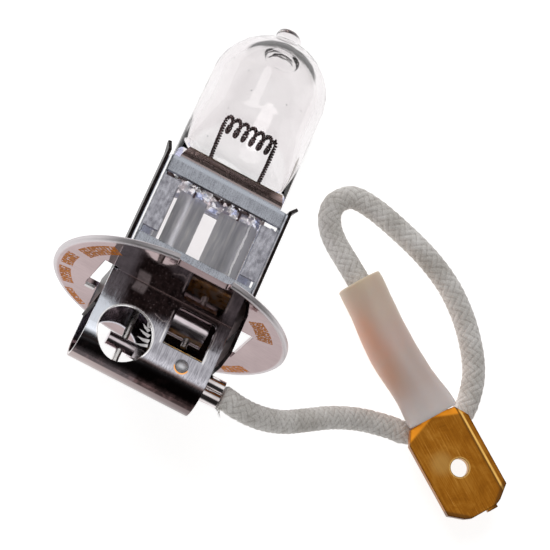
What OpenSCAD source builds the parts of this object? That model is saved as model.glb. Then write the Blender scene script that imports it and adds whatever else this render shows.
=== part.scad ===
// Single-filament halogen fog lamp bulb with a pigtail lead, lying on its rim and its glass.
// Origin: centre of the flange's lower face. +Z up, +X towards the lead, the glass points along +Y.

/* [Flange] */
// radius of the flange disc
flange_r = 11; // [10:0.1:12]
// thickness of the flange disc
flange_t = 0.55; // [0.4:0.05:1]
// width of the keying notch in the rim
notch_w = 5; // [3:0.1:7]
// depth of the keying notch in the rim
notch_d = 1.5; // [0.5:0.1:2.5]
// length of the two slots for the side straps
slot_l = 6.3; // [5:0.1:7]

/* [Glass] */
// outer radius of the quartz tube and dome
glass_r = 5.4; // [5:0.05:5.75]
// wall of the quartz tube
glass_wall = 0.9; // [0.6:0.05:1.2]
// height of the dome's centre above the flange's lower face
dome_z = 23; // [21:0.1:25]
// height of the tip above the flange's lower face
tip_z = 29.8; // [28:0.1:32]
// half width of the pinch seal
pinch_hw = 4.3; // [3.8:0.1:4.8]
// lower end of the pinch seal
pinch_z0 = 1.6; // [1:0.1:3]

/* [Filament] */
// height of the filament's axis above the flange's lower face
coil_z = 18.4; // [17:0.1:19]
// radius of the coil to the middle of its wire
coil_r = 0.62; // [0.4:0.01:0.9]
// distance between two turns
coil_pitch = 0.73; // [0.5:0.01:1]
// radius of the coiled wire
strand_r = 0.15; // [0.1:0.01:0.2]

/* [Clamp] */
// outer width of the clamp's plates
clamp_w = 11.8; // [10:0.1:12]
// width of the side straps above the flange
strap_w = 1.4; // [1:0.1:3]
// where the side straps lie across the clamp's depth
strap_y = -1.2; // [-1.8:0.1:1.8]
// half depth of the clamp, to its outer faces
clamp_hd = 2.65; // [2:0.05:3]
// sheet thickness of the clamp
clamp_t = 0.3; // [0.2:0.05:0.5]
// upper edge of the clamp's plates
clamp_z1 = 12.2; // [11:0.1:13]
// lower edge of the clamp's windows
window_z0 = 4.25; // [3.5:0.05:5]
// upper edge of the clamp's windows
window_z1 = 10.65; // [10:0.05:11]
// half width left between the arms
arm_x = 4.1; // [3.6:0.05:4.4]
// lower end of the arms
arm_z0 = 5.1; // [4.6:0.05:5.6]
// upper end of the arms
arm_z1 = 10.3; // [9.8:0.05:10.5]

/* [Bracket] */
// width of the lower bracket
bracket_w = 11.6; // [10:0.1:12.5]
// middle of the lower bracket along X
bracket_x = -0.5; // [-1:0.1:1]
// sheet thickness of the lower bracket
bracket_t = 0.35; // [0.2:0.05:0.6]
// where the bend of the bracket starts
bend_z = -5.3; // [-7:0.1:-4]
// radius of the round hole
hole_r = 2.45; // [2:0.05:3]

/* [Lead] */
// radius of the braided lead
lead_r = 1.1; // [0.9:0.05:1.4]
// number of sides of the lead
lead_sides = 12; // [8:1:16]
// spacing of the rings along the lead, in diameters
lead_step = 0.62; // [0.4:0.02:3]

/* [Terminal] */
// width of the spade blade
blade_w = 6.3; // [6.2:0.05:6.4]
// thickness of the spade blade
blade_t = 0.8; // [0.75:0.05:0.85]
// radius of the blade's detent hole
blade_hole_r = 0.85; // [0.7:0.05:1]
// length of the silicone boot
boot_l = 14.1; // [12:0.1:16]
// smallest outer radius of the silicone boot
boot_r = 2.1; // [1.9:0.05:2.5]

/* [Part] */
// which piece to show

/* [Hidden] */
$fn = 64;
lie = 13.6;                      // how far the axis tips down to lie on the rim and the dome
table_z = -10.82;
pin_x = 2.5;
pin_r = 0.3;
blade_at = [27.17, 3.68, -7.4];  // where the boot ends and the blade begins
blade_yaw = -35.3;
blade_pitch = -5.2;
// The lead's route, from the crimp over the ground and back into the boot.
lead_pts = [[6.0, -4.81, 1.16], [7.4, -4.83, 1.16], [9.5, -5.0, 0.7], [11.8, -4.65, -0.7],
  [13.95, -3.8, -2.5], [16, -2.5, -4.4], [18.6, -0.8, -6.6], [21.4, 0.5, -8.4], [24.2, 1.25, -9.4],
  [25.8, 1.5, -9.7], [27.65, 2.4, -9.72], [29.2, 3.8, -9.72], [30, 5.4, -9.72], [30.05, 6.9, -9.72],
  [29.5, 9.2, -9.72], [28.2, 11.4, -9.72], [26.2, 13.65, -9.72], [23.75, 15.55, -9.72],
  [20.9, 16.95, -9.72], [17.7, 17.95, -9.72], [14.3, 18.7, -9.72], [12, 18.7, -9.72],
  [10.8, 17.5, -9.72], [10.8, 16.2, -9.72], [11.5, 15, -9.7], [12.6, 14, -9.5], [14, 13, -9.1],
  [15.71, 11.8, -8.68], [18.15, 10.07, -8.41], [20.6, 8.35, -8.13]];

module lay() { rotate([-(90 + lie), 0, 0]) children(); }
module at_blade() { translate(blade_at) rotate([0, blade_pitch, blade_yaw]) children(); }
// Extrudes a (y, z) outline along x, or an (x, z) outline along y.
module along_x(w) { rotate([90, 0, 90]) linear_extrude(height = w, center = true) children(); }
module along_y(d) { rotate([90, 0, 0]) linear_extrude(height = d, center = true) children(); }
module rbox(w, d, r) {
  square([w - 2 * r, d], center = true);
  square([w, d - 2 * r], center = true);
  for (sx = [-1, 1], sy = [-1, 1])
    translate([sx * (w / 2 - r), sy * (d / 2 - r)]) circle(r);
}

// ---- glass ----
// What is cut off beside the glass's waist: the outline is an S from half width a at height za
// down to half width b at height zb.
module waist(a, za, b, zb) {
  n = 12;
  for (s = [0, 1]) mirror([0, s, 0]) along_x(13) polygon(concat([[b, zb - 1], [a + 2, zb - 1],
    [a + 2, za]], [for (i = [n : -1 : 0]) [b + (a - b) * (1 - cos(180 * i / n)) / 2,
    zb + (za - zb) * i / n]]));
}
module outside() {
  intersection() {
    union() {
      translate([0, 12.2]) square([glass_r, dome_z - 12.2]);
      translate([0, dome_z]) circle(glass_r);
      translate([0, tip_z - 1.4]) square([1.1, 0.3]);
      translate([0, tip_z - 1.1]) circle(1.1);
      polygon([[0, dome_z + 4.5], [1.9, dome_z + 5], [1.35, dome_z + 5.36], [1.1, dome_z + 5.75],
        [0, dome_z + 5.75]]);
    }
    translate([0, 12.2]) square([20, 30]);
  }
}
module inside() {
  r = glass_r - glass_wall;
  difference() {
    intersection() {
      union() {
        translate([0, 13.6]) square([r, dome_z - 13.6]);
        translate([0, dome_z]) circle(r);
      }
      translate([0, 13.6]) square([20, 30]);
    }
    translate([1.15, dome_z + r - 0.75]) circle(0.28);
    polygon([[0, dome_z + r - 0.6], [1.15, dome_z + r - 0.75], [1.9, dome_z + r + 0.1],
      [0, dome_z + r + 0.1]]);
  }
}
module quartz_envelope() color([0.9, 0.92, 0.95, 0.35]) lay() difference() {
  union() {
    difference() {
      rotate_extrude($fn = 96) outside();
      waist(glass_r + 0.3, 18.8, 1.3, 12.4);
    }
    translate([0, 0, (pinch_z0 + 12.4) / 2])
      cube([2 * pinch_hw - 2, 1.7, 12.4 - pinch_z0], center = true);
    for (s = [-1, 1]) translate([s * (pinch_hw - 1.15), 0, pinch_z0])
      cylinder(r = 1.15, h = 12.4 - pinch_z0, $fn = 48);
    translate([0, 0, 11.9]) cube([2 * pinch_hw - 1.6, 2.6, 1], center = true);
  }
  difference() {
    rotate_extrude($fn = 96) inside();
    waist(glass_r - glass_wall + 0.4, 19, 0.9, 13.9);
  }
  for (s = [-1, 1]) {
    foil_blank(s);
    translate([s * pin_x, 0, pinch_z0 - 1]) cylinder(r = pin_r, h = 4.2, $fn = 32);
    translate([s * 2.3, 0, 10.4]) cylinder(r = 0.16, h = 4.4, $fn = 32);
  }
}

// ---- filament and sealed conductors ----
turns = 6;
coil_x0 = 0.15 - turns * coil_pitch / 2;
// One wire: up the left leg, round the coil, down the right leg.
function coil_path() = concat(
  [for (i = [0 : 4]) [coil_x0 - 0.15, 0, 14.1 + i * (coil_z + 0.2 - 14.1) / 4]],
  [for (i = [0 : turns * 14]) let (a = i * 360 / 14)
    [coil_x0 + i * coil_pitch / 14, -coil_r * sin(a), coil_z + coil_r * cos(a)]],
  [for (i = [0 : 4]) [coil_x0 + turns * coil_pitch + 0.15, 0,
    coil_z + 0.2 - i * (coil_z + 0.2 - 14.1) / 4]]);
function unit(v) = v / max(norm(v), 0.000001);
function tangents(p) = [for (i = [0 : len(p) - 1])
  unit(p[min(i + 1, len(p) - 1)] - p[max(i - 1, 0)])];
// Frames carried along the route without twist.
function frames(t, i = 0, n = [0, 0, 0]) = i >= len(t) ? [] :
  let (a = norm(n) > 0 ? n : (abs(t[0][2]) < 0.9 ? [0, 0, 1] : [0, 1, 0]),
    m = unit(a - (a * t[i]) * t[i]))
  concat([m], frames(t, i + 1, m));
module tube(path, r, sides) {
  t = tangents(path);
  f = frames(t);
  n = len(path);
  pts = concat([for (i = [0 : n - 1], k = [0 : sides - 1]) let (a = 360 * k / sides)
      path[i] + r * (cos(a) * f[i] + sin(a) * cross(t[i], f[i]))], [path[0], path[n - 1]]);
  tris = concat(
    [for (i = [0 : n - 2], k = [0 : sides - 1]) let (a = i * sides, b = (k + 1) % sides)
      [a + k, a + sides + k, a + sides + b]],
    [for (i = [0 : n - 2], k = [0 : sides - 1]) let (a = i * sides, b = (k + 1) % sides)
      [a + k, a + sides + b, a + b]],
    [for (k = [0 : sides - 1]) [n * sides, k, (k + 1) % sides]],
    [for (k = [0 : sides - 1]) [n * sides + 1, (n - 1) * sides + (k + 1) % sides,
      (n - 1) * sides + k]]);
  polyhedron(points = pts, faces = tris, convexity = 10);
}
module filament_coil() color([0.3, 0.3, 0.32]) lay() tube(coil_path(), strand_r, 8);
module lead_in(s) color([0.5, 0.5, 0.52]) lay()
  translate([s * 2.3, 0, 10.4]) cylinder(r = 0.16, h = 3.7, $fn = 32);
module lead_in_left() { lead_in(-1); }
module lead_in_right() { lead_in(1); }
module foil_blank(s) translate([s > 0 ? 1.98 : -2.08, 0, 7.6])
  cube([s > 0 ? 2.86 : 2.66, 0.1, 5.8], center = true);
module foil(s) color([0.7, 0.7, 0.72]) lay() difference() {
  foil_blank(s);
  translate([s * pin_x, 0, pinch_z0 - 1]) cylinder(r = pin_r, h = 4.2, $fn = 32);
  translate([s * 2.3, 0, 10.4]) cylinder(r = 0.16, h = 4.4, $fn = 32);
}
module foil_left() { foil(-1); }
module foil_right() { foil(1); }
module pin_left() color([0.75, 0.75, 0.76]) lay()
  translate([-pin_x, 0, -6.7]) cylinder(r = pin_r, h = pinch_z0 + 3.2 + 6.7, $fn = 32);
module pin_right() color([0.75, 0.75, 0.76]) lay()
  translate([pin_x, 0, -2.6]) cylinder(r = pin_r, h = pinch_z0 + 3.2 + 2.6, $fn = 32);

// ---- upper clamp ----
module shell_plan() difference() {
  rbox(clamp_w, 2 * clamp_hd, 0.5);
  rbox(clamp_w - 2 * clamp_t, 2 * (clamp_hd - clamp_t), 0.2);
  translate([0, 10 - 1.5]) square([20, 20], center = true);
}
module lip() {
  h = clamp_hd;
  intersection() {
    along_x(11) polygon([[-h, clamp_z1 - 0.01], [-h, clamp_z1 + 0.35], [-h + 0.1, clamp_z1 + 0.75],
      [-h + 0.65, clamp_z1 + 1.7], [-h + 0.9, clamp_z1 + 1.57], [-h + 0.4, clamp_z1 + 0.7],
      [-h + 0.3, clamp_z1 + 0.3], [-h + 0.3, clamp_z1 - 0.01]]);
    along_y(12) polygon([[-5.05, clamp_z1 - 0.01], [-5.05, clamp_z1 + 0.4],
      [-4.55, clamp_z1 + 1.75], [4.75, clamp_z1 + 1.75], [5, clamp_z1 + 0.4],
      [5, clamp_z1 - 0.01]]);
  }
}
// Half of the clamp: two bands across the front, and set back between them the arms beside the window.
module clamp_half() {
  difference() {
    translate([0, 0, flange_t]) linear_extrude(height = clamp_z1 - flange_t) shell_plan();
    translate([0, -clamp_hd, (window_z0 + window_z1) / 2])
      cube([clamp_w - 0.4, 2 * clamp_t + 0.02, window_z1 - window_z0], center = true);
  }
  for (s = [-1, 1]) translate([s * (arm_x + 0.82), -clamp_hd + clamp_t * 1.5, (arm_z0 + arm_z1) / 2])
    cube([1.64, clamp_t, arm_z1 - arm_z0], center = true);
  lip();
}
module clamp_front() color([0.6, 0.62, 0.65]) lay() clamp_half();
module clamp_back() color([0.6, 0.62, 0.65]) lay() mirror([0, 1, 0]) clamp_half();
// A side strap: a narrow blade with a flared tip above, a broad tongue through the flange slot below.
module side_strap(s, flare, tip) lay() {
  x = clamp_w / 2 + clamp_t / 2 + 0.02;
  translate([s * x, 0, 0]) {
    translate([0, strap_y, 6.5]) cube([clamp_t, strap_w, 12.8], center = true);
    translate([0, strap_y, 12.85]) rotate([0, s * tip, 0]) along_x(clamp_t)
      polygon([[-strap_w / 2, 0], [strap_w / 2, 0], [0.15, 1], [-0.15, 1]]);
    translate([0, 0, -0.7]) cube([clamp_t, 4.6, 2.6], center = true);
    translate([0, 0, -1.95]) rotate([0, flare, 0]) along_x(clamp_t)
      polygon([[-2.3, 0.05], [-2, -1.5], [2, -1.5], [2.3, 0.05]]);
  }
}
module side_strap_left() color([0.5, 0.5, 0.52]) side_strap(-1, 12, 14);
module side_strap_right() color([0.5, 0.5, 0.52]) side_strap(1, 12, 34);
// A small foot clinched under the flange at the end of the left slot.
module strap_foot() color([0.7, 0.7, 0.7]) lay()
  translate([-6.8, 3.2, -0.13]) cube([0.9, 0.5, 0.26], center = true);

// ---- flange ----
module flange_disc() color([0.75, 0.72, 0.71]) lay() difference() {
  rotate_extrude($fn = 128) polygon([[0, 0], [flange_r - 0.12, 0], [flange_r, 0.12],
    [flange_r, flange_t - 0.12], [flange_r - 0.12, flange_t], [0, flange_t]]);
  translate([0, -flange_r, 0]) linear_extrude(height = 3, center = true)
    rbox(notch_w, 2 * notch_d, 0.5);
  for (s = [-1, 1]) translate([s * 6.55, 0, 0]) cube([1.4, slot_l, 4], center = true);
  cube([7.2, 1.6, 4], center = true);
}

// ---- lower bracket ----
module u_plan(r) {
  translate([-r, bend_z]) square([2 * r, -bend_z]);
  translate([0, bend_z]) circle(r);
}
module base_bracket() color([0.62, 0.62, 0.64]) lay() difference() {
  translate([bracket_x, 0, 0]) along_x(bracket_w) difference() {
    u_plan(clamp_hd);
    u_plan(clamp_hd - bracket_t);
    translate([-5, 0]) square([10, 5]);
  }
  translate([-3, 0, -4.85]) rotate([90, 0, 0]) cylinder(r = hole_r, h = 8, center = true);
  translate([2.2, -clamp_hd, -2.23]) along_y(2) {
    rbox(3.8, 3.75, 0.5);
    translate([0, -0.6]) square([3.8, 2.55], center = true);
  }
  translate([2.65, -clamp_hd, -5.25]) rotate([90, 0, 0]) cylinder(r = 0.4, h = 2, center = true, $fn = 32);
  translate([bracket_x + bracket_w / 2, 0, -4.95]) cube([1.6, 3, 2.8], center = true);
}

// ---- contacts inside the bracket ----
module ground_tab() color([0.55, 0.53, 0.52]) lay() difference() {
  union() {
    translate([-2.6, 0, -4.95]) rotate([0, 90, 0]) cylinder(r = 0.62, h = 2.6, center = true);
    translate([-1, 0.45, -4.95]) cube([1.4, 0.3, 1.1], center = true);
    translate([-0.45, 1.3, -4.95]) cube([0.3, 2, 1.1], center = true);
  }
  translate([-pin_x, 0, -7]) cylinder(r = pin_r, h = 6, $fn = 32);
}
module live_contact() color([0.35, 0.3, 0.32]) lay() difference() {
  union() {
    intersection() {
      translate([2.2, 0.75, -0.35]) rotate([0, 90, 0]) difference() {
        cylinder(r = 1.75, h = 3.4, center = true);
        cylinder(r = 1.45, h = 5, center = true);
      }
      translate([2.2, -0.5, -1]) cube([5, 1.3, 1.9], center = true);
    }
    translate([2.2, 0.65, -2.02]) cube([3.4, 1.5, 0.22], center = true);
  }
  translate([pin_x, 0, -7]) cylinder(r = pin_r, h = 12, $fn = 32);
}
module insulator_block() color([0.6, 0.33, 0.12]) lay() difference() {
  translate([2.45, 0.65, -4.9]) cube([4.9, 3.2, 3.2], center = true);
  translate([4.3, 0, -4.95]) cube([3.4, 1.9, 2.7], center = true);
}
module insulator_rivet() color([0.7, 0.7, 0.7]) lay() translate([2.65, 0, -5.25]) rotate([90, 0, 0]) {
  translate([0, 0, 0.95]) cylinder(r = 0.4, h = clamp_hd - 0.95, $fn = 32);
  translate([0, 0, clamp_hd]) intersection() {
    translate([0, 0, -0.5]) sphere(0.78, $fn = 48);
    cylinder(r = 1, h = 1, $fn = 48);
  }
}
module crimp_ferrule() color([0.72, 0.7, 0.7]) lay() difference() {
  union() {
    for (s = [-1, 1]) translate([2.9, 0, -4.95 + s * 0.6]) rotate([0, 90, 0])
      cylinder(r = 0.7, h = 4.3);
    translate([5.05, 0.45, -4.95]) cube([4.3, 0.5, 1.6], center = true);
  }
  translate([2.4, 0, -4.95]) rotate([0, 90, 0]) cylinder(r = 0.35, h = 6, $fn = 32);
}
module lead_conductor() color([0.75, 0.45, 0.3]) lay()
  translate([2.7, 0, -4.95]) rotate([0, 90, 0]) cylinder(r = 0.35, h = 4.5, $fn = 32);

// ---- lead ----
function seg_pt(a, b, c, d, t) = 0.5 * (2 * b + (c - a) * t + (2 * a - 5 * b + 4 * c - d) * t * t
  + (3 * b - a - 3 * c + d) * t * t * t);
// Rings at the stated spacing along a smooth curve through the route points.
function lead_path() = let (p = lead_pts, n = len(p))
  concat([for (i = [1 : n - 2]) let (m = max(1, round(norm(p[i + 1] - p[i])
      / (2 * lead_r * lead_step)))) for (k = [0 : m - 1])
    seg_pt(p[i - 1], p[i], p[i + 1], p[min(i + 2, n - 1)], k / m)], [p[n - 1]]);
module lead_braid() color([0.86, 0.85, 0.8]) tube(lead_path(), lead_r, lead_sides);
module braid_fray() color([0.8, 0.8, 0.76]) lay() {
  for (v = [[-0.3, -70], [0.35, -25], [-0.1, 60]])
    translate([7.35, v[0], -6.05]) rotate([v[1] / 4, 118, v[1]]) cylinder(r = 0.07, h = 0.9, $fn = 16);
}

// ---- boot and terminal ----
module boot_plan() {
  polygon([[1.12, -boot_l], [boot_r - 0.08, -boot_l], [boot_r + 0.04, -boot_l + 0.15],
    [boot_r, -boot_l + 2.5], [boot_r + 0.12, -boot_l + 5.5], [boot_r + 0.1, -boot_l + 8.5],
    [boot_r + 0.05, -boot_l + 10.5], [boot_r + 0.35, -boot_l + 12.8], [boot_r + 0.36, -0.15],
    [boot_r + 0.2, 0], [1.9, 0], [1.9, -6.6], [1.12, -6.9]]);
}
module terminal_boot() color([0.88, 0.85, 0.82, 0.85]) at_blade()
  rotate([0, 90, 0]) rotate_extrude($fn = 64) boot_plan();
module blade_outline() difference() {
  polygon([[0, -1.5], [0.1, -2.35], [1.35, -blade_w / 2], [8.5, -blade_w / 2], [9.5, -1.9],
    [9.75, -1.3], [9.75, 1.3], [9.5, 1.9], [8.5, blade_w / 2], [1.35, blade_w / 2], [0.1, 2.35],
    [0, 1.5]]);
  translate([5.2, 0]) circle(blade_hole_r);
}
module spade_terminal() color([0.72, 0.5, 0.2]) at_blade() {
  translate([0, -0.25, -blade_t / 2]) linear_extrude(height = blade_t) blade_outline();
  translate([-1.2, -1.4, -blade_t / 2]) cube([1.3, 2.8, blade_t]);
  translate([-6.4, 0, 0]) rotate([0, 90, 0]) difference() {
    cylinder(r = 1.5, h = 5.3);
    translate([0, 0, -1]) cylinder(r = 1.13, h = 5.5);
  }
}

quartz_envelope();
filament_coil();
lead_in_left();
lead_in_right();
foil_left();
foil_right();
pin_left();
pin_right();
clamp_front();
clamp_back();
side_strap_left();
side_strap_right();
strap_foot();
flange_disc();
base_bracket();
ground_tab();
live_contact();
insulator_block();
insulator_rivet();
crimp_ferrule();
lead_conductor();
lead_braid();
braid_fray();
terminal_boot();
spade_terminal();
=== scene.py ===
"""Headlight bulb with a pigtail lead, lying on a white table. Metres, row frame: +Z up, +X to the lead."""

import math

import bpy
import numpy as np
from mathutils import Matrix, Vector


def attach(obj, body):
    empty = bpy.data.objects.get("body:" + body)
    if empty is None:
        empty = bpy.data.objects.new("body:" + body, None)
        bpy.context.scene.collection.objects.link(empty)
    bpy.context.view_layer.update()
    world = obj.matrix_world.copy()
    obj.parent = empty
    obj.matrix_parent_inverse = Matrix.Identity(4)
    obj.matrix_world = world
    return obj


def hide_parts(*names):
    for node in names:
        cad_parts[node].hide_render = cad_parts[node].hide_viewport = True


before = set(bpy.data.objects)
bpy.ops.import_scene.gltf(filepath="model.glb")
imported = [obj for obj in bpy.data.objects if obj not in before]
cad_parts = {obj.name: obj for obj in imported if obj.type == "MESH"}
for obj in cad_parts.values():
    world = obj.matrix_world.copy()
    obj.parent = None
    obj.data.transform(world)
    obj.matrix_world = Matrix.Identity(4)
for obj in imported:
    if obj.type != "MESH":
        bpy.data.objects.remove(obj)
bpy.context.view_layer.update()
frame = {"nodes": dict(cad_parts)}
MM = 0.001
LIE = math.radians(90 + 13.6)  # the bulb's axis is tipped this far from upright
TABLE_Z = -10.82 * MM
rng = np.random.default_rng(7)


def lay(p):
    """Points in the bulb's own frame (mm, +Z to the glass tip) as row frame metres."""
    p = np.atleast_2d(np.asarray(p, float))
    c, s = math.cos(LIE), math.sin(LIE)
    return np.stack([p[:, 0], c * p[:, 1] + s * p[:, 2], -s * p[:, 1] + c * p[:, 2]], 1) * MM


# ---------------------------------------------------------------- camera
FIELD = 10.528  # degrees, across the square picture
CAMERA_PLACE = (-0.0346, -0.0407, 0.2546)
CAMERA_BACK = (-0.1588, -0.1821, 0.9704)  # away from what it looks at
CAMERA_RIGHT = (0.8735, 0.4323, 0.2240)
cam_data = bpy.data.cameras.new("camera")
cam = bpy.data.objects.new("camera", cam_data)
bpy.context.scene.collection.objects.link(cam)
bpy.context.scene.camera = cam
cam_data.sensor_width = 36
cam_data.angle = math.radians(FIELD)
cam_data.clip_start, cam_data.clip_end = 0.01, 20
back = Vector(CAMERA_BACK).normalized()
up = back.cross(Vector(CAMERA_RIGHT).normalized()).normalized()
cam.matrix_world = Matrix.Translation(CAMERA_PLACE) @ Matrix((up.cross(back), up, back)).transposed().to_4x4()


# ---------------------------------------------------------------- mesh helpers
def new_mesh(name, verts, faces, smooth=True):
    me = bpy.data.meshes.new(name)
    me.from_pydata([tuple(map(float, v)) for v in verts], [], [tuple(map(int, f)) for f in faces])
    me.validate()
    ob = bpy.data.objects.new(name, me)
    bpy.context.scene.collection.objects.link(ob)
    if smooth:
        me.polygons.foreach_set("use_smooth", [True] * len(me.polygons))
    me.update()
    return ob


def grid_faces(n, m, start=0, flip=False):
    """Quads between n closed rings of m points each."""
    out = []
    for i in range(n - 1):
        for k in range(m):
            b = (k + 1) % m
            q = (start + i * m + k, start + i * m + b, start + (i + 1) * m + b, start + (i + 1) * m + k)
            out.append(q[::-1] if flip else q)
    return out


def catmull(points, step):
    """Points about one step apart on a smooth curve from the second control point to the last."""
    p = [np.asarray(q, float) for q in points]
    out = []
    for i in range(1, len(p) - 1):
        a, b, c, d = p[i - 1], p[i], p[i + 1], p[min(i + 2, len(p) - 1)]
        m = max(1, int(round(np.linalg.norm(c - b) / step)))
        for k in range(m):
            t = k / m
            out.append(
                0.5
                * (2 * b + (c - a) * t + (2 * a - 5 * b + 4 * c - d) * t * t + (3 * b - a - 3 * c + d) * t**3)
            )
    out.append(p[-1])
    return np.array(out)


def even(path, step):
    """The path resampled to equal steps."""
    d = np.r_[0, np.cumsum(np.linalg.norm(np.diff(path, axis=0), axis=1))]
    n = max(2, int(round(d[-1] / step)) + 1)
    t = np.linspace(0, d[-1], n)
    return np.stack([np.interp(t, d, path[:, k]) for k in range(3)], 1), t


def carried_frames(path, first=(0, 0, 1)):
    """Tangents, and normals carried along the path without twist."""
    t = np.gradient(path, axis=0)
    t /= np.linalg.norm(t, axis=1)[:, None]
    n = np.zeros_like(t)
    v = np.asarray(first, float)
    for i in range(len(t)):
        v = v - np.dot(v, t[i]) * t[i]
        v /= np.linalg.norm(v)
        n[i] = v
    return t, n, np.cross(t, n)


def tube(name, path, radius, sides):
    """A tube round the path; radius is a number, or an array of one value a ring and side."""
    _, n, b = carried_frames(path)
    a = np.arange(sides) * 2 * math.pi / sides
    r = np.broadcast_to(np.asarray(radius, float), (len(path), sides))
    ring = path[:, None, :] + r[:, :, None] * (
        np.cos(a)[None, :, None] * n[:, None, :] + np.sin(a)[None, :, None] * b[:, None, :]
    )
    verts = np.vstack([ring.reshape(-1, 3), path[0], path[-1]])
    faces = grid_faces(len(path), sides)
    e = len(path) * sides
    faces += [(e, (k + 1) % sides, k) for k in range(sides)]
    o = (len(path) - 1) * sides
    faces += [(e + 1, o + k, o + (k + 1) % sides) for k in range(sides)]
    return new_mesh(name, verts, faces)


def mark(ob, name, values):
    """A number at every point of a mesh, for its material to read."""
    ob.data.attributes.new(name, "FLOAT", "POINT").data.foreach_set("value", np.asarray(values, np.float32))


# ---------------------------------------------------------------- node helpers
class Mat:
    """A material with one Principled shader and short ways to add nodes."""

    def __init__(self, name, **sockets):
        self.m = bpy.data.materials.new(name)
        self.m.use_nodes = True
        self.t = self.m.node_tree
        self.b = self.t.nodes["Principled BSDF"]
        self.set(self.b, **sockets)

    def plug(self, node, key, value):
        sock = node.inputs[key]
        if isinstance(value, bpy.types.NodeSocket):
            self.t.links.new(value, sock)
        elif sock.type == "RGBA":
            sock.default_value = (*value[:3], 1)
        else:
            sock.default_value = value

    def set(self, node, **sockets):
        for key, value in sockets.items():
            self.plug(node, key.replace("_", " "), value)

    def node(self, kind, props=None, **inputs):
        n = self.t.nodes.new("ShaderNode" + kind)
        for k, v in (props or {}).items():
            setattr(n, k, v)
        for k, v in inputs.items():
            self.plug(n, int(k[1:]) if k[0] == "i" and k[1:].isdigit() else k.replace("_", " "), v)
        return n

    def bulb(self):
        """Position in the bulb's frame, in millimetres."""
        if not hasattr(self, "_bulb"):
            tc = self.node("TexCoord")
            mp = self.node("Mapping", Vector=tc.outputs["Object"])
            mp.inputs["Scale"].default_value = (1000, 1000, 1000)
            mp.inputs["Rotation"].default_value = (LIE, 0, 0)
            self._bulb = mp.outputs[0]
        return self._bulb

    def row(self):
        """Position in the row frame, in millimetres."""
        if not hasattr(self, "_row"):
            tc = self.node("TexCoord")
            mp = self.node("Mapping", Vector=tc.outputs["Object"])
            mp.inputs["Scale"].default_value = (1000, 1000, 1000)
            self._row = mp.outputs[0]
        return self._row

    def blade(self):
        """Position in the spade blade's frame, in millimetres."""
        tc = self.node("TexCoord")
        mp = self.node("Mapping", {"vector_type": "TEXTURE"}, Vector=tc.outputs["Object"])
        mp.inputs["Location"].default_value = [v * MM for v in BLADE_AT]
        mp.inputs["Rotation"].default_value = (0, PITCH, YAW)
        mp.inputs["Scale"].default_value = (MM, MM, MM)
        return mp.outputs[0]

    def soft_edge(self, radius):
        """Normals rounded over the edges, radius in millimetres."""
        return self.node("Bevel", {"samples": 4}, Radius=radius * MM).outputs[0]

    def band(self, v, lo, hi, soft=0.1):
        """1 between lo and hi, falling to 0 over soft on either side."""
        return self.mul(self.step(v, lo - soft, lo + soft), self.fall(v, hi - soft, hi + soft))

    def all(self, first, *more):
        """The product of masks."""
        for k in more:
            first = self.mul(first, k)
        return first

    def blend(self, *parts):
        """A weighted sum of (value, weight) pairs."""
        out = None
        for v, w in parts:
            v = self.mul(v, w)
            out = v if out is None else self.add(out, v)
        return out

    def far(self, u, v, cu, cv):
        """Distance from (cu, cv) in the plane of u and v."""
        a, b = self.sub(u, cu), self.sub(v, cv)
        return self.math("SQRT", self.add(self.mul(a, a), self.mul(b, b)))

    def xyz(self, vec):
        return self.node("SeparateXYZ", i0=vec).outputs

    def stretch(self, vec, scale):
        return self.node("VectorMath", {"operation": "MULTIPLY"}, i0=vec, i1=scale).outputs[0]

    def noise(self, vec, scale=1.0, detail=3.0, rough=0.5, distort=0.0):
        return self.node(
            "TexNoise", Vector=vec, Scale=scale, Detail=detail, Roughness=rough, Distortion=distort
        ).outputs["Fac"]

    def math(self, op, a, b=0.0):
        return self.node("Math", {"operation": op}, i0=a, i1=b).outputs[0]

    def add(self, a, b):
        return self.math("ADD", a, b)

    def sub(self, a, b):
        return self.math("SUBTRACT", a, b)

    def mul(self, a, b):
        return self.math("MULTIPLY", a, b)

    def most(self, a, b):
        return self.math("MAXIMUM", a, b)

    def size(self, a):
        return self.math("ABSOLUTE", a)

    def step(self, v, lo, hi, a=0.0, b=1.0):
        """a at lo and b at hi, smooth between, flat outside."""
        n = self.node("MapRange", {"interpolation_type": "SMOOTHSTEP"}, Value=v)
        for k, x in zip(("From Min", "From Max", "To Min", "To Max"), (lo, hi, a, b)):
            n.inputs[k].default_value = x
        return n.outputs[0]

    def fall(self, v, lo, hi):
        """1 at lo and 0 at hi, smooth between, flat outside."""
        return self.step(v, lo, hi, 1.0, 0.0)

    def ramp(self, fac, stops):
        """Colours at places from 0 to 1 along fac."""
        n = self.node("ValToRGB", i0=fac)
        cr = n.color_ramp
        while len(cr.elements) < len(stops):
            cr.elements.new(0.5)
        for e, (p, c) in zip(cr.elements, stops):
            e.position = p
            e.color = (*c, 1)
        return n.outputs[0]

    def mix(self, fac, a, b):
        """Colour a where fac is 0 and b where it is 1."""
        n = self.node("Mix", {"data_type": "RGBA"})
        self.plug(n, 0, fac)
        self.plug(n, 6, a)
        self.plug(n, 7, b)
        return n.outputs[2]

    def bump(self, height, strength=0.3, distance=0.05, normal=None):
        n = self.node("Bump", Height=height)
        n.inputs["Strength"].default_value = strength
        n.inputs["Distance"].default_value = distance * MM
        if normal is not None:
            self.plug(n, "Normal", normal)
        self.plug(self.b, "Normal", n.outputs[0])
        return n.outputs[0]


def dress(obj, mat):
    """Puts one material on every slot of a piece."""
    me = obj.data
    if not len(me.materials):
        me.materials.append(mat.m)
    for i in range(len(me.materials)):
        me.materials[i] = mat.m
    return obj


node = frame["nodes"]

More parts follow.
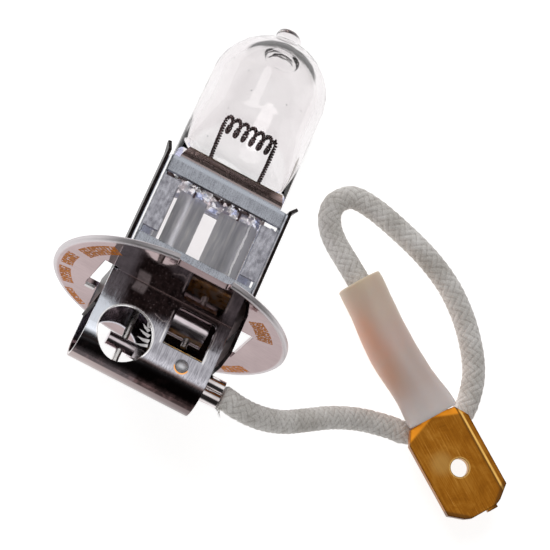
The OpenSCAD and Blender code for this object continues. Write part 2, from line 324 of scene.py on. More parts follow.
# ---------------------------------------------------------------- lead
# The lead's route, from the crimp over the table and back into the boot (mm).
LEAD = [
    (6.0, -4.81, 1.16), (7.4, -4.83, 1.16), (9.5, -5.0, 0.7), (11.8, -4.65, -0.7),
    (13.95, -3.8, -2.5), (16, -2.5, -4.4), (18.6, -0.8, -6.6), (21.4, 0.5, -8.4), (24.2, 1.25, -9.4),
    (25.8, 1.5, -9.7), (27.65, 2.4, -9.72), (29.2, 3.8, -9.72), (30, 5.4, -9.72), (30.05, 6.9, -9.72),
    (29.5, 9.2, -9.72), (28.2, 11.4, -9.72), (26.2, 13.65, -9.72), (23.75, 15.55, -9.72),
    (20.9, 16.95, -9.72), (17.7, 17.95, -9.72), (14.3, 18.7, -9.72), (12, 18.7, -9.72),
    (10.8, 17.5, -9.72), (10.8, 16.2, -9.72), (11.5, 15, -9.7), (12.6, 14, -9.5), (14, 13, -9.1),
    (15.71, 11.8, -8.68), (18.15, 10.07, -8.41), (20.6, 8.35, -8.13),
]
LEAD_R = 1.1
line, along = even(catmull(LEAD, 0.1), 0.05)


CARRIERS = 8  # bundles each way round
BRAID_PITCH = 5.6


def braid_height(s, a):
    """Height of a two-way braid, 0 to 1, at distance s (mm) along and angle a round, and the place across
    its bundle: each bundle passes over two and under two of the others."""
    u = CARRIERS * (a / (2 * math.pi) + s / BRAID_PITCH)
    v = CARRIERS * (a / (2 * math.pi) - s / BRAID_PITCH)
    iu, iv = np.floor(u), np.floor(v)
    fu, fv = u - iu - 0.5, v - iv - 0.5
    over = ((iu - iv) % 4) < 2
    cu = np.sqrt(np.clip(1 - (fu / 0.56) ** 2, 0, 1))
    cv = np.sqrt(np.clip(1 - (fv / 0.56) ** 2, 0, 1))
    # the bundle on top arches along its own way, and dips where it goes under
    top = np.where(over, cu, cv)
    along_top = np.where(over, fv, fu)
    return np.clip(top * (0.82 + 0.18 * np.cos(math.pi * along_top)), 0, 1), np.where(over, fu, fv)


LEAD_SIDES = 112
THREADS = 4  # in each bundle
WEAVE_FLOOR, WEAVE_RISE, THREAD_RISE = LEAD_R - 0.19, 0.165, 0.02
angles = np.arange(LEAD_SIDES) * 2 * math.pi / LEAD_SIDES
height, across = braid_height(*np.meshgrid(along, angles, indexing="ij"))
thread = (0.5 + 0.5 * np.cos(across * 2 * math.pi * THREADS)) * (height > 0.2)
weave = WEAVE_FLOOR + WEAVE_RISE * height + THREAD_RISE * thread
lead = tube("lead_weave", line * MM, weave * MM, LEAD_SIDES)
mark(lead, "gap", np.r_[height.ravel(), 0.5, 0.5])

# ---------------------------------------------------------------- boot
BLADE_AT = np.array([27.17, 3.68, -7.4])
YAW, PITCH = math.radians(-35.3), math.radians(-5.2)
blade_rot = Matrix.Rotation(YAW, 3, "Z") @ Matrix.Rotation(PITCH, 3, "Y")


def at_blade(p):
    """Points in the blade's frame (mm, +X out of the boot) as row frame metres."""
    p = np.atleast_2d(np.asarray(p, float))
    return (p @ np.array(blade_rot).T + BLADE_AT) * MM


BOOT = [  # distance from the blade end, radius across, radius up
    (-14.1, 1.98, 1.98), (-14.0, 2.1, 2.1), (-13.4, 2.14, 2.14), (-11.6, 2.1, 2.1), (-9.5, 2.16, 2.14),
    (-7.5, 2.22, 2.18), (-5.5, 2.22, 2.18), (-3.9, 2.18, 2.14), (-2.6, 2.24, 2.2), (-1.4, 2.38, 2.3),
    (-0.45, 2.46, 2.34), (-0.1, 2.42, 2.3), (0.0, 2.3, 2.2),
]


def bend(x):
    """How far the soft boot bows to one side."""
    return -0.42 * math.sin(math.pi * min(max((x + 13.6) / 12.8, 0), 1)) ** 2


def boot_mesh():
    """The sleeve: a faintly wavy outside, and a bore that narrows to grip the lead."""
    m, outer = 96, []
    a = np.arange(m) * 2 * math.pi / m
    b = np.array(BOOT)
    xs = np.linspace(-14.1, 0, 130)
    xs = np.r_[b[:2, 0], xs[2:-2], b[-2:, 0]]
    for x in xs:
        ry, rz = np.interp(x, b[:, 0], b[:, 1]), np.interp(x, b[:, 0], b[:, 2])
        wob = 0.018 * np.sin(3 * a + x * 0.7) + 0.012 * np.sin(5 * a - x * 1.3) * np.sin(x * 0.9)
        outer.append(np.stack([np.full(m, x), (ry + wob) * np.cos(a) + bend(x), (rz + wob) * np.sin(a)], 1))
    inner = []
    for x, r in ((0.0, 1.95), (-0.3, 1.85), (-6.5, 1.85), (-6.9, 1.12), (-13.9, 1.12), (-14.1, 1.2)):
        inner.append(np.stack([np.full(m, x), r * np.cos(a) + bend(x), r * np.sin(a)], 1))
    verts = np.vstack(outer + inner)
    n = len(outer) + len(inner)
    faces = grid_faces(n, m)
    faces += [((n - 1) * m + k, (n - 1) * m + (k + 1) % m, (k + 1) % m, k) for k in range(m)]
    return new_mesh("silicone_boot", at_blade(verts), faces)


boot = boot_mesh()

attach(lead, "root")
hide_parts("lead_braid")
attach(boot, "root")
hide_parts("terminal_boot")


# ---------------------------------------------------------------- stray strands at the crimp
def strands():
    """Nine fine strands in three tufts; each tuft has a root and a way that it points."""
    verts, faces = [], []
    tips = [
        ((7.3, 0.35, -6.0), (1.5, 0.2, -1.5)),
        ((7.5, 0.1, -6.05), (0.4, -0.5, -1.2)),
        ((7.6, -0.25, -6.0), (-0.5, -0.6, -0.9)),
    ]
    for k in range(9):
        (x, y, z), (dx, dy, dz) = tips[k % 3]
        j = rng.normal(0, 0.08, 3)
        length = 0.75 + 0.3 * rng.random()
        d = np.array([dx, dy, dz]) / np.linalg.norm((dx, dy, dz)) * length
        t = np.linspace(0, 1, 9)[:, None]
        curl = np.array([0.12, 0.05, 0.16]) * rng.normal(1, 0.4)
        path = np.array([x, y, z]) + j + d * t + curl * np.sin(t * 2.6)
        _, nn, bb = carried_frames(path)
        a = np.arange(6) * math.pi / 3
        r = 0.035 * (1 - 0.6 * t[:, 0])
        ring = path[:, None, :] + r[:, None, None] * (
            np.cos(a)[None, :, None] * nn[:, None, :] + np.sin(a)[None, :, None] * bb[:, None, :]
        )
        o = len(verts)
        verts += list(ring.reshape(-1, 3))
        faces += grid_faces(9, 6, o)
        faces += [tuple(o + q for q in reversed(range(6))), tuple(o + 8 * 6 + q for q in range(6))]
    return new_mesh("loose_strands", lay(np.array(verts)), faces)


fray = strands()
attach(fray, "root")
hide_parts("braid_fray")

# ---------------------------------------------------------------- glass
GLASS_R, WALL, DOME_Z = 5.4, 0.9, 23.0
WEB = 0.26  # how much thinner the pinch is between its thick edges
PINCH = {"z_top": 18.6, "z_low": 11.6, "half_w": 4.3, "half_t": 1.15}
CAVITY = {"z_top": 19.2, "z_low": 13.9, "half_w": 3.6, "half_t": 0.5}


def smooth(x):
    x = np.clip(x, 0, 1)
    return x * x * (3 - 2 * x)


def section(a, z, r, z_top, z_low, half_w, half_t, web=0.0):
    """A ring that is round with radius r above z_top, and a flat bar half_w by half_t below z_low; it widens
    to the tube's width just above z_low."""
    f = smooth((z - z_low) / (z_top - z_low))
    g = smooth((z - z_low) / 1.3)
    ca, sa = np.cos(a), np.sin(a)
    bar_x = half_w * np.sign(ca) * np.abs(ca) ** 0.42
    bar_y = half_t * np.sign(sa) * np.abs(sa) ** 0.3
    if web:
        bar_y = bar_y * (1 - web * smooth((half_w - 1.5 - np.abs(bar_x)) / 0.7))
    return np.stack(
        [bar_x * (1 - g) + r * ca * g, bar_y * (1 - f) + r * sa * f, np.full(a.shape, z)], 1
    )


def glass_mesh():
    m = 160
    a = np.arange(m) * 2 * math.pi / m + math.pi / m
    rings = []
    for z, k in ((1.6, 0.8), (1.66, 0.95), (1.8, 1.0)):
        s = section(a, z, GLASS_R, **PINCH, web=WEB)
        s[:, 1] *= k
        s[:, 0] *= 1 - (1 - k) * 0.25
        rings.append(s)
    for z in np.linspace(2.2, 22.9, 84):
        rings.append(section(a, z, GLASS_R, **PINCH, web=WEB * (1 - float(smooth((z - 11.2) / 1.6)))))
    for t in np.linspace(0, 1, 26):
        ph = t * math.radians(73)
        r, z = GLASS_R * math.cos(ph), DOME_Z + GLASS_R * math.sin(ph)
        rings.append(np.stack([r * np.cos(a), r * np.sin(a), np.full(m, z)], 1))
    for r, z in ((1.5, 28.25), (1.36, 28.4), (1.28, 28.6), (1.25, 28.85), (1.22, 29.1), (1.12, 29.38),
                 (0.9, 29.6), (0.58, 29.74), (0.28, 29.79)):
        lean = 0.06 + 0.2 * (z - 28.2)
        rings.append(np.stack([r * np.cos(a) - lean, r * np.sin(a), np.full(m, z)], 1))
    outer = np.vstack(rings)
    n = len(rings)
    faces = [tuple(range(m - 1, -1, -1))] + grid_faces(n, m)
    faces.append(tuple((n - 1) * m + k for k in range(m)))
    # the cavity, turned inside out
    inner = []
    r = GLASS_R - WALL
    for z, k in ((13.95, 0.25), (14.0, 0.6), (14.15, 0.86), (14.4, 0.98)):
        s = section(a, z, r, **CAVITY)
        s[:, :2] *= k
        inner.append(s)
    for z in np.linspace(14.8, 22.9, 40):
        inner.append(section(a, z, r, **CAVITY))
    for t in np.linspace(0, 1, 22):
        ph = t * math.radians(63)
        inner.append(np.stack([r * math.cos(ph) * np.cos(a), r * math.cos(ph) * np.sin(a),
                               np.full(m, DOME_Z + r * math.sin(ph))], 1))
    for rr, z in ((1.82, 27.0), (1.66, 26.86), (1.52, 26.66), (1.4, 26.52), (1.28, 26.47), (1.17, 26.52),
                  (1.1, 26.66), (1.04, 26.9), (0.9, 27.2), (0.66, 27.42), (0.3, 27.52), (0.08, 27.54)):
        inner.append(np.stack([rr * np.cos(a), rr * np.sin(a), np.full(m, z)], 1))
    k = len(inner)
    o = n * m
    faces += [tuple(o + q for q in range(m))]
    faces += grid_faces(k, m, o, flip=True)
    faces.append(tuple(o + (k - 1) * m + q for q in range(m - 1, -1, -1)))
    return new_mesh("quartz_glass", lay(np.vstack([outer] + inner)), faces)


glass = glass_mesh()
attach(glass, "root")
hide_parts("quartz_envelope")

# ---------------------------------------------------------------- filament
TURNS, COIL_PITCH, COIL_R, COIL_Z = 6, 0.73, 0.62, 18.4
X0 = 0.15 - TURNS * COIL_PITCH / 2
LEAN = 0.17  # the turns lean over: their near halves sit this much further along
WIND_PITCH = 0.24  # the wire of the coil is itself wound this fine
LEG_Z, LEG_LENGTH = 14.1, 4.4


def filament_mesh():
    left = [(X0 - 0.15, 0, z) for z in np.linspace(LEG_Z, COIL_Z + 0.25, 30)]
    a = np.linspace(0, TURNS * 2 * math.pi, TURNS * 40)
    coil = [(X0 + t / (2 * math.pi) * COIL_PITCH + LEAN * math.sin(t), -COIL_R * math.sin(t),
             COIL_Z + COIL_R * math.cos(t)) for t in a]
    x1 = X0 + TURNS * COIL_PITCH
    rightl = [(x1 + 0.15, 0, z) for z in np.linspace(COIL_Z + 0.25, LEG_Z, 30)]
    path = np.array(left + coil + rightl)
    path, s = even(path, 0.0125)
    for _ in range(6):
        path[1:-1] = (path[:-2] + path[1:-1] + path[2:]) / 3
    _, n, b = carried_frames(path, (0, 1, 0))
    turn = s / WIND_PITCH * 2 * math.pi
    leg = smooth((LEG_LENGTH - s) / 0.5) + smooth((s - s[-1] + LEG_LENGTH) / 0.5)
    wide = (0.1 + 0.01 * leg)[:, None]
    fine = path + wide * (np.cos(turn)[:, None] * n + np.sin(turn)[:, None] * b)
    thick = (0.076 + 0.022 * leg)[:, None] * np.ones((1, 6))
    return tube("filament_wire", lay(fine), thick * MM, 6)


filament = filament_mesh()
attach(filament, "root")
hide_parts("filament_coil")

# ---------------------------------------------------------------- small things
def burr():
    """Torn slivers of plating at the edge of the bracket's round hole."""
    verts, faces = [], []
    for (x, z), (u, w), wide in (((-1.15, -3.75), (-0.75, 0.55), 0.16), ((-0.95, -4.15), (-1.0, 0.35), 0.18),
                                 ((-0.8, -4.6), (-1.1, 0.1), 0.2), ((-0.75, -5.0), (-1.15, -0.2), 0.16),
                                 ((-1.3, -3.5), (-0.3, 0.75), 0.12)):
        d = np.array([u, w])
        s = np.array([-w, u]) / np.linalg.norm(d) * wide
        o = len(verts)
        mid = np.array([x, z]) + 0.5 * d + 0.35 * s
        for q, y in ((np.array([x, z]) + s, -2.62), (np.array([x, z]) - s, -2.62), (mid - 0.5 * s, -2.5),
                     (np.array([x, z]) + d, -2.3), (mid + 0.5 * s, -2.42)):
            verts += [(q[0], y, q[1]), (q[0], y + 0.07, q[1])]
        ring = [0, 2, 4, 6, 8]
        faces += [tuple(o + k for k in ring), tuple(o + k + 1 for k in reversed(ring))]
        for i, k in enumerate(ring):
            after = ring[(i + 1) % 5]
            faces.append((o + k, o + k + 1, o + after + 1, o + after))
    return new_mesh("hole_slivers", lay(np.array(verts)), faces, smooth=False)


slivers = burr()
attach(slivers, "root")

nub = new_mesh(
    "blade_nub",
    at_blade([(x, y, z) for x in (9.6, 9.98) for y in (0.15, 1.15) for z in (-0.3, 0.3)]),
    [(0, 1, 3, 2), (4, 6, 7, 5), (0, 4, 5, 1), (2, 3, 7, 6), (0, 2, 6, 4), (1, 5, 7, 3)],
    smooth=False,
)
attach(nub, "root")


# ---------------------------------------------------------------- materials
# Places on the metal, in the bulb's frame (mm).
HOLE_X, HOLE_Z, HOLE_R = -3.0, -4.85, 2.4
DIMPLE_X, DIMPLE_Z = 2.65, -5.27
BEND_Z = -5.3
LIP_Z = 12.3
FOIL_X = 2.15
RIM_R = 10.5


def steel(name, light, dark, rough=(0.18, 0.34), grain=(0.6, 14, 14)):
    """Pressed steel: soft clouds of tarnish, fine rolling lines and small marks."""
    m = Mat(name, Metallic=1.0)
    p = m.bulb()
    clouds = m.noise(p, 0.25, 4, 0.6, 0.4)
    lines = m.noise(m.stretch(p, grain), 1.0, 3, 0.6)
    specks = m.noise(p, 5.5, 2, 0.5)
    f = m.add(m.mul(clouds, 0.7), m.mul(lines, 0.35))
    col = m.ramp(f, [(0.36, dark), (0.62, light)])
    col = m.mix(m.mul(m.step(specks, 0.62, 0.72), 0.35), col, [x * 0.55 for x in light])
    m.plug(m.b, "Base Color", col)
    r = m.step(m.add(m.mul(lines, 0.6), m.mul(clouds, 0.4)), 0.3, 0.7, *rough)
    m.plug(m.b, "Roughness", r)
    h = m.add(m.mul(lines, 0.6), m.mul(m.noise(p, 2.2, 3, 0.5), 0.8))
    m.bump(h, 0.12, 0.05, m.soft_edge(0.08))
    return m


def bracket_material():
    m = Mat("bracket_steel_plain", Metallic=1.0)
    p = m.bulb()
    x, y, z = m.xyz(p)[:3]
    lines = m.noise(m.stretch(p, (9, 9, 0.7)), 1.0, 3, 0.65)
    clouds = m.noise(p, 0.5, 4, 0.6, 0.5)
    drawn = m.blend((lines, 0.65), (clouds, 0.35))
    col = m.ramp(drawn, [(0.36, (0.31, 0.30, 0.335)), (0.64, (0.68, 0.665, 0.72))])
    front = m.fall(y, -2.3, -1.7)
    # painted highlight: a light margin by the left edge, standing in for the light its rounded edge catches
    col = m.mix(m.all(front, m.step(x, -5.1, -4.3, 0.85, 0.0)), col, (0.86, 0.90, 0.98))
    # dark brown painted over the upper part, standing in for the dark reflection there, with a ragged lower
    # edge that climbs to the right
    wob = m.sub(m.noise(p, 1.1, 4, 0.6), 0.5)
    rise = m.mul(m.most(m.add(x, 3.2), 0.0), -0.3)
    zz = m.add(m.add(z, wob), rise)
    sides = m.all(m.step(m.add(x, wob), -4.9, -3.9), m.step(x, 4.1, 4.5, 1.0, 0.6))
    dark_reflection = m.all(front, m.step(zz, -3.3, -2.4), sides)
    brown = m.ramp(m.noise(p, 1.6, 4, 0.65), [(0.35, (0.022, 0.013, 0.012)), (0.68, (0.16, 0.11, 0.105))])
    col = m.mix(m.mul(dark_reflection, 0.95), col, brown)
    specks = m.all(dark_reflection, m.step(m.noise(p, 6.5, 1, 0.4), 0.66, 0.7))
    col = m.mix(m.mul(specks, 0.7), col, (0.7, 0.66, 0.67))
    # a painted glint near the flange, a scratch by the hole and a bright band round the hole's own rim
    bright = m.all(front, m.band(m.add(x, m.mul(z, -0.15)), -4.0, -2.85, 0.12), m.band(z, -0.95, 0.1, 0.2))
    scratch = m.all(front, m.band(x, -1.35, -0.1, 0.1),
                    m.band(m.add(z, m.mul(m.size(m.add(x, 0.5)), -0.35)), -2.42, -2.28, 0.04))
    rim = m.all(front, m.band(m.far(x, z, HOLE_X, HOLE_Z), HOLE_R, HOLE_R + 0.18, 0.03))
    col = m.mix(m.most(bright, m.most(scratch, rim)), col, (1.0, 0.98, 0.99))
    # painted shade: the faces inside the bracket are near-black
    inside = m.all(m.band(y, -2.2, 2.45, 0.04), m.step(x, -0.5, -0.3))
    col = m.mix(inside, col, (0.02, 0.014, 0.013))
    top = m.all(front, m.step(z, -0.14, -0.06), m.step(x, -5.0, -4.5))
    col = m.mix(m.mul(top, 0.6), col, (0.7, 0.6, 0.58))
    # painted highlights: bright edges down both sides of the contact window
    edge = m.most(m.band(x, -0.02, 0.12, 0.03), m.mul(m.band(x, 4.12, 4.34, 0.04), m.step(lines, 0.4, 0.5)))
    col = m.mix(m.all(front, edge, m.band(z, -4.2, -1.0, 0.15)), col, (1.0, 0.98, 0.99))
    # the dimple: a lighter ring, painted shade on its upper rim and a copper-coloured painted glint at its
    # foot
    d = m.far(x, z, DIMPLE_X, DIMPLE_Z)
    col = m.mix(m.all(front, m.band(d, 0.38, 0.56, 0.05)), col, (0.78, 0.78, 0.82))
    col = m.mix(m.all(front, m.band(d, 0.56, 0.66, 0.03), m.step(z, -5.35, -5.0)), col, (0.25, 0.25, 0.28))
    col = m.mix(m.all(front, m.band(d, 0.5, 0.7, 0.03), m.fall(z, -5.5, -5.3)), col, (1.0, 0.45, 0.14))
    # round the bend: a pinkish band, a dark band painted to deepen the dark reflection there and a pale edge,
    # lighter to the left: degrees turned from the front wall
    turn = m.math("DEGREES", m.math("ARCTAN2", m.sub(BEND_Z, z), m.mul(y, -1.0)))
    start = m.sub(m.add(turn, m.mul(wob, 2.0)), m.mul(m.math("MINIMUM", x, 0.0), -1.5))
    low = m.fall(z, BEND_Z - 0.3, BEND_Z - 0.1)
    col = m.mix(m.all(low, m.band(start, 19, 25, 4)), col, (0.42, 0.30, 0.29))
    bend_dark_paint = m.ramp(wob, [(0.0, (0.045, 0.028, 0.028)), (0.16, (0.13, 0.08, 0.08))])
    col = m.mix(m.all(low, m.step(start, 23, 32, 0.0, 0.9)), col, bend_dark_paint)
    along = m.add(m.math("DIVIDE", x, -11.6), 0.43)
    pale = m.ramp(along, [(0.0, (0.17, 0.13, 0.13)), (1.0, (0.42, 0.345, 0.34))])
    col = m.mix(m.all(low, m.step(turn, 72, 76)), col, pale)
    m.plug(m.b, "Base Color", col)
    m.plug(m.b, "Roughness", m.step(m.blend((lines, 0.5), (clouds, 0.5)), 0.35, 0.65, 0.07, 0.2))
    m.bump(m.blend((lines, 0.4), (m.noise(p, 1.8, 3, 0.5), 0.8)), 0.12, 0.05, m.soft_edge(0.1))
    return m


def clamp_material():
    m = Mat("clamp_steel_plain", Metallic=1.0)
    p = m.bulb()
    x, y, z = m.xyz(p)[:3]
    streak = m.noise(m.stretch(p, (11, 11, 0.9)), 1.0, 3, 0.65)
    fine = m.noise(p, 8, 3, 0.65)
    clouds = m.noise(p, 0.8, 4, 0.6, 0.5)
    f = m.blend((streak, 0.4), (fine, 0.3), (clouds, 0.3))
    col = m.ramp(f, [(0.38, (0.29, 0.30, 0.34)), (0.62, (0.66, 0.69, 0.76))])
    arm = m.all(m.band(z, 5.05, 10.35, 0.05), m.step(y, -2.52, -2.46), m.fall(y, -1.9, -1.8))
    mottle = m.noise(m.stretch(p, (2.5, 2.5, 1.2)), 1.0, 4, 0.65)
    dull = m.ramp(mottle, [(0.36, (0.28, 0.27, 0.31)), (0.66, (0.74, 0.73, 0.80))])
    col = m.mix(m.mul(arm, 0.85), col, dull)
    # a painted shadow line along the window's top edge, and a painted highlight under the lip
    over_window = m.mul(m.band(z, 10.6, 10.7, 0.02), m.step(m.size(x), 4.1, 4.3, 0.9, 0.2))
    col = m.mix(over_window, col, (0.07, 0.06, 0.07))
    col = m.mix(m.band(z, 11.9, 12.25, 0.1), col, (0.66, 0.7, 0.78))
    rolled = m.noise(m.stretch(p, (0.25, 7, 7)), 1.0, 3, 0.6)
    # the lip: brown polish, darkest along its middle
    polish = m.ramp(
        rolled, [(0.34, (0.26, 0.175, 0.16)), (0.56, (0.50, 0.37, 0.35)), (0.70, (0.72, 0.58, 0.55))]
    )
    polish = m.mix(m.band(z, LIP_Z, 12.72, 0.14), polish, (0.48, 0.385, 0.37))
    polish = m.mix(m.mul(m.band(z, 12.98, 13.14, 0.16), 0.85), polish, (0.05, 0.03, 0.026))
    col = m.mix(m.step(z, LIP_Z, LIP_Z + 0.15), col, polish)
    col = m.mix(m.mul(m.step(z, 13.62, 13.75), 0.8), col, (0.34, 0.24, 0.17))
    # painted highlight: white down the left corner below the lip
    col = m.mix(m.all(m.fall(x, -5.78, -5.7), m.fall(z, LIP_Z, LIP_Z + 0.1)), col, (1.0, 1.0, 1.0))
    # the inside of the box, which takes up the quartz's soft light
    within = m.mul(m.band(y, -2.3, 2.45, 0.03), m.fall(z, LIP_Z - 0.1, LIP_Z))
    col = m.mix(within, col, (0.80, 0.83, 0.97))
    m.plug(m.b, "Base Color", col)
    m.plug(m.b, "Metallic", m.step(within, 0.0, 1.0, 1.0, 0.15))
    m.plug(m.b, "Roughness", m.step(f, 0.35, 0.65, 0.22, 0.4))
    m.bump(m.blend((streak, 0.4), (fine, 0.5)), 0.16, 0.05, m.soft_edge(0.08))
    return m


def strap_material():
    m = Mat("strap_steel_plain", Metallic=1.0)
    p = m.bulb()
    z = m.xyz(p)[2]
    col = m.ramp(m.noise(p, 1.6, 4, 0.6), [(0.35, (0.006, 0.005, 0.005)), (0.7, (0.04, 0.03, 0.029))])
    m.plug(m.b, "Base Color", col)
    m.b.inputs["Roughness"].default_value = 0.34
    teeth = m.math("SINE", m.mul(z, 22.0))
    m.bump(m.blend((teeth, 0.5), (m.noise(p, 4, 3, 0.6), 0.5)), 0.3, 0.05)
    return m


def foil_material():
    m = Mat("molybdenum_plain", Metallic=0.45)
    p = m.bulb()
    x, _, z = m.xyz(p)[:3]
    streak = m.noise(m.stretch(p, (2.6, 2.6, 0.35)), 1.0, 3, 0.5)
    col = m.ramp(streak, [(0.34, (0.60, 0.61, 0.66)), (0.56, (0.74, 0.75, 0.79)), (0.72, (1.0, 1.0, 1.0))])
    middle = m.size(m.sub(m.size(x), FOIL_X))
    # painted highlight: a white streak along each foil near x = ±FOIL_X
    col = m.mix(m.all(m.step(middle, 0.06, 0.2, 0.7, 0.0), m.step(z, 6.0, 9.5)), col, (1.0, 1.0, 1.0))
    col = m.mix(m.band(x, 0.5, 0.98, 0.05), col, (0.85, 0.85, 0.88))
    m.plug(m.b, "Base Color", col)
    m.b.inputs["Roughness"].default_value = 0.36
    m.bump(streak, 0.2, 0.05)
    return m


def flange_material():
    m = Mat("flange_steel_plain")
    p = m.bulb()
    x, y, z = m.xyz(p)[:3]
    r = m.far(x, y, 0.0, 0.0)
    clouds = m.noise(p, 0.22, 4, 0.6, 0.5)
    lines = m.noise(m.stretch(p, (0.5, 9, 9)), 1.0, 3, 0.6)
    plating = m.blend((clouds, 0.6), (lines, 0.4))
    col = m.ramp(plating, [(0.35, (0.345, 0.255, 0.26)), (0.65, (0.45, 0.345, 0.35))])
    # painted highlight: the outer rim is lighter; it is also rougher
    outer = m.step(r, RIM_R, RIM_R + 0.3)
    col = m.mix(m.mul(outer, 0.75), col, (0.72, 0.70, 0.72))
    # printed bars: plain strokes, no lettering
    left = m.math("DEGREES", m.math("ARCTAN2", m.mul(y, -1.0), m.mul(x, -1.0)))
    rightward = m.math("DEGREES", m.math("ARCTAN2", y, x))
    ink = None
    for turn, lo, hi, r0, r1 in (
        (left, 14, 42, 8.6, 10.0),
        (left, -9, 7, 9.2, 10.3),
        (left, -31, -13, 9.3, 10.4),
        (left, -53, -37, 9.8, 10.6),
        (rightward, -45, -22, 8.2, 9.7),
        (rightward, 24, 41, 9.3, 10.4),
    ):
        bar = m.all(m.band(turn, lo, hi, 0.5), m.band(r, r0, r1, 0.05))
        ink = bar if ink is None else m.most(ink, bar)
    around = m.mul(m.add(left, m.mul(r, 4.0)), 0.32)
    polar = m.node("CombineXYZ", i0=around, i1=m.mul(r, 2.0)).outputs[0]
    bars = m.math("SINE", m.mul(left, 2.6))
    broken = m.blend((m.noise(polar, 1.8, 3, 0.7), 1.0), (bars, 0.05))
    ink = m.all(ink, m.step(broken, 0.41, 0.44), m.fall(z, 0.03, 0.1))
    orange = m.ramp(m.noise(p, 4, 3, 0.6), [(0.35, (0.42, 0.105, 0.005)), (0.65, (0.70, 0.235, 0.025))])
    col = m.mix(ink, col, orange)
    m.plug(m.b, "Base Color", col)
    m.plug(m.b, "Metallic", m.sub(1.0, ink))
    m.b.inputs["Specular IOR Level"].default_value = 0.05
    m.plug(m.b, "Roughness", m.add(m.step(clouds, 0.3, 0.7, 0.04, 0.09), m.mul(outer, 0.35)))
    m.bump(m.noise(p, 1.6, 3, 0.5), 0.07, 0.05, m.soft_edge(0.1))
    return m


def quartz_material():
    m = Mat("quartz_plain", Roughness=0.0, IOR=1.458)
    p = m.bulb()
    x, y, z = m.xyz(p)[:3]
    wide = m.noise(p, 0.3, 2, 0.5)
    col = m.ramp(wide, [(0.35, (0.81, 0.775, 0.78)), (0.65, (0.875, 0.848, 0.85))])
    up = m.most(m.sub(z, 23.0), 0.0)
    out = m.math("SQRT", m.blend((m.mul(x, x), 1), (m.mul(y, y), 1), (m.mul(up, up), 1)))
    col = m.mix(m.all(m.step(out, 4.65, 5.0, 0.9, 0.0), m.step(z, 13.0, 14.0)), col, (0.98, 0.975, 0.975))
    # painted reflection: blue wedges beside the pinch, narrowing upward
    side = m.size(x)
    wedge = m.sub(side, m.mul(m.sub(z, 12.7), 0.28))
    blue = m.all(m.band(z, 12.6, 14.6, 0.1), m.step(wedge, 4.55, 4.7))
    col = m.mix(m.mul(blue, 0.85), col, (0.30, 0.33, 0.66))
    # the clear zone over the foils: caught bubbles, with blue and rosy painted reflections
    zone = m.band(z, 10.25, 11.7, 0.12)
    cast = m.noise(p, 0.9, 3, 0.6)
    col = m.mix(m.all(zone, m.step(cast, 0.56, 0.62, 0.0, 0.9)), col, (0.42, 0.50, 0.86))
    col = m.mix(m.all(zone, m.step(cast, 0.38, 0.44, 0.9, 0.0)), col, (0.80, 0.66, 0.66))
    flank = m.mul(m.most(m.band(x, 3.5, 4.1, 0.05), m.fall(x, -3.86, -3.8)), m.fall(z, 10.3, 10.6))
    col = m.mix(m.mul(flank, 0.9), col, (0.46, 0.45, 0.47))
    torn = m.all(m.band(m.add(x, m.mul(cast, 0.5)), 3.5, 3.72, 0.04), m.fall(z, 10.3, 10.6))
    col = m.mix(torn, col, (1.0, 0.99, 0.99))
    flank = m.most(flank, torn)
    caught = m.all(zone, m.step(m.noise(p, 1.5, 3, 0.6), 0.5, 0.54, 0.0, 0.8))
    frost = m.most(m.mul(flank, 0.8), caught)
    # painted glints on the bubbles: white, rosy and blue
    facets = m.ramp(cast, [(0.38, (0.95, 0.85, 0.86)), (0.5, (1.0, 1.0, 1.0)), (0.62, (0.62, 0.70, 1.0))])
    col = m.mix(caught, col, facets)
    m.plug(m.b, "Metallic", m.mul(caught, 0.3))
    m.plug(m.b, "Transmission Weight", m.sub(1.0, frost))
    # painted glow: the bubbles emit a little light, standing in for light carried down inside the quartz
    glow = m.ramp(cast, [(0.36, (0.95, 0.84, 0.86)), (0.5, (1.0, 0.98, 1.0)), (0.64, (0.60, 0.66, 0.95))])
    m.plug(m.b, "Emission Color", glow)
    m.plug(m.b, "Emission Strength", m.mul(caught, m.step(m.noise(p, 2.2, 2, 0.5), 0.4, 0.62, 0.15, 0.85)))
    dots = m.node("TexVoronoi", Vector=p, Scale=0.5).outputs["Distance"]
    col = m.mix(m.all(m.step(dots, 0.028, 0.036, 0.8, 0.0), m.step(z, 14.5, 15.0)), col, (0.12, 0.11, 0.13))
    m.plug(m.b, "Base Color", col)
    pinch = m.all(m.band(x, 3.25, 4.2, 0.08), m.fall(z, 10.8, 11.0))
    rough = m.most(m.most(zone, pinch), m.all(m.fall(z, 5.1, 5.2), m.step(x, 2.9, 3.1)))
    bubbly = m.mul(m.noise(p, 2.6, 3, 0.65), m.mul(rough, 5.0))
    m.bump(m.add(m.noise(m.stretch(p, (1.2, 1.2, 0.4)), 1.0, 2, 0.4), bubbly), 0.09, 0.12)
    return m


def braid_material():
    m = Mat("glass_fibre_plain", Roughness=0.72)
    p = m.row()
    fine = m.noise(p, 9, 3, 0.6)
    wide = m.noise(p, 0.35, 3, 0.6)
    col = m.ramp(m.blend((fine, 0.5), (wide, 0.5)), [(0.35, (0.52, 0.485, 0.44)), (0.65, (0.98, 0.95, 0.92))])
    gap = m.node("Attribute", {"attribute_name": "gap"}).outputs["Fac"]
    # painted shade: the low places between the bundles are darker
    col = m.mix(m.step(gap, 0.15, 0.85, 0.72, 0.0), col, (0.26, 0.205, 0.175))
    m.plug(m.b, "Base Color", col)
    m.b.inputs["Sheen Weight"].default_value = 0.3
    m.bump(fine, 0.25, 0.05)
    return m


def strand_material():
    m = Mat("fibre_ends_plain", Roughness=0.7)
    col = m.ramp(m.noise(m.row(), 3, 2, 0.5), [(0.35, (0.45, 0.42, 0.38)), (0.65, (0.8, 0.78, 0.74))])
    m.plug(m.b, "Base Color", col)
    return m


